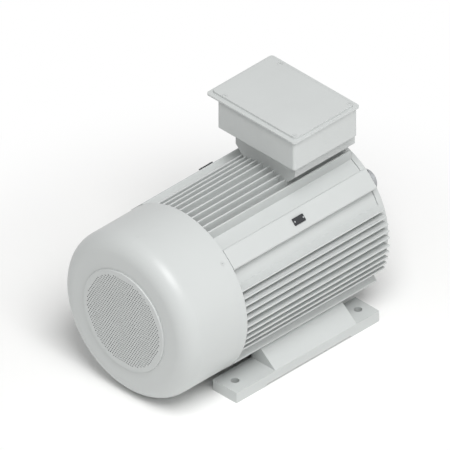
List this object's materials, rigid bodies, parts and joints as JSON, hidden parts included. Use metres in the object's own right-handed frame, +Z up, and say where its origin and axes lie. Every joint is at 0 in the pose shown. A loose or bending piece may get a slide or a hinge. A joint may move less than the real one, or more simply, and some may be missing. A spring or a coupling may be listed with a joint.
{
  "type": "three-phase electric motor",
  "caption": "Foot-mounted, fan-cooled three-phase induction motor with finned square frame, top terminal box and keyed drive shaft.",
  "frame": {"origin": "middle of the four foot holes, on the plane the feet stand on", "axes": "+X along the shaft, out of the drive end; +Z up, out of the foot plane; +Y to the side of the cable entries"},
  "size_m": [0.9425, 0.497, 0.6695],
  "materials": {
    "paint": "light grey semi-gloss machine paint over cast or pressed metal",
    "shaft_steel": "turned and ground bare steel",
    "plated_steel": "zinc-plated screws and washers",
    "bearing_steel": "ground and polished bearing steel",
    "core_steel": "stacked electrical sheet with varnished edges",
    "winding": "varnished copper wire",
    "cast_aluminium": "die-cast aluminium",
    "brass": "bare machined brass",
    "polymer": "moulded black polymer",
    "board": "moulded brown insulating resin",
    "rubber": "black nitrile rubber",
    "plate": "plain dark anodised sheet"
  },
  "bodies": {
    "stator": {"board_screws": "plated_steel", "box_lid": "paint", "box_screws": "plated_steel", "box_seal": "rubber", "cable_plugs": "polymer", "cowl_screws": "paint", "drive_bearing_outer_ring": "bearing_steel", "drive_cap_screws": "plated_steel", "drive_end_shield": "paint", "drive_inner_cap": "paint", "drive_outer_cap": "paint", "drive_shield_screws": "plated_steel", "earth_screw": "plated_steel", "earth_washer": "plated_steel", "fan_bearing_outer_ring": "bearing_steel", "fan_cap_screws": "plated_steel", "fan_cowl": "paint", "fan_end_shield": "paint", "fan_inner_cap": "paint", "fan_outer_cap": "paint", "fan_shield_screws": "plated_steel", "foot_screws": "plated_steel", "frame_housing": "paint", "inlet_guard": "paint", "left_foot": "paint", "lid_gasket": "rubber", "lid_screws": "paint", "pad_plates": "plate", "plate_rivets": "plated_steel", "plug_seals": "rubber", "preload_washer": "plated_steel", "right_foot": "paint", "stator_core": "core_steel", "stator_winding": "winding", "terminal_board": "board", "terminal_box": "paint", "terminal_links": "brass", "terminal_nuts": "brass", "terminal_studs": "brass", "winding_leads": "rubber"},
    "rotor": {"shaft": "shaft_steel", "rotor_core": "core_steel", "rotor_cage": "cast_aluminium", "fan": "polymer", "fan_key": "shaft_steel", "fan_clip": "plated_steel", "drive_bearing_inner_ring": "bearing_steel", "fan_bearing_inner_ring": "bearing_steel", "drive_shaft_seal": "rubber", "fan_shaft_seal": "rubber"},
    "drive_balls": {"drive_bearing_balls": "bearing_steel", "drive_bearing_cage": "brass"},
    "fan_balls": {"fan_bearing_balls": "bearing_steel", "fan_bearing_cage": "brass"}
  },
  "joints": [
    {"name": "rotor_spin", "type": "hinge", "parent": "stator", "child": "rotor", "pos_m": [0, 0, 0.25], "axis": [1, 0, 0], "continuous": true},
    {"name": "drive_cage_spin", "type": "hinge", "parent": "stator", "child": "drive_balls", "pos_m": [0.285, 0, 0.25], "axis": [1, 0, 0], "continuous": true},
    {"name": "fan_cage_spin", "type": "hinge", "parent": "stator", "child": "fan_balls", "pos_m": [-0.272, 0, 0.25], "axis": [1, 0, 0], "continuous": true}
  ],
  "couplings": [
    {"joint": "drive_cage_spin", "follows": "rotor_spin", "ratio": 0.38455},
    {"joint": "fan_cage_spin", "follows": "rotor_spin", "ratio": 0.38293}
  ]
}
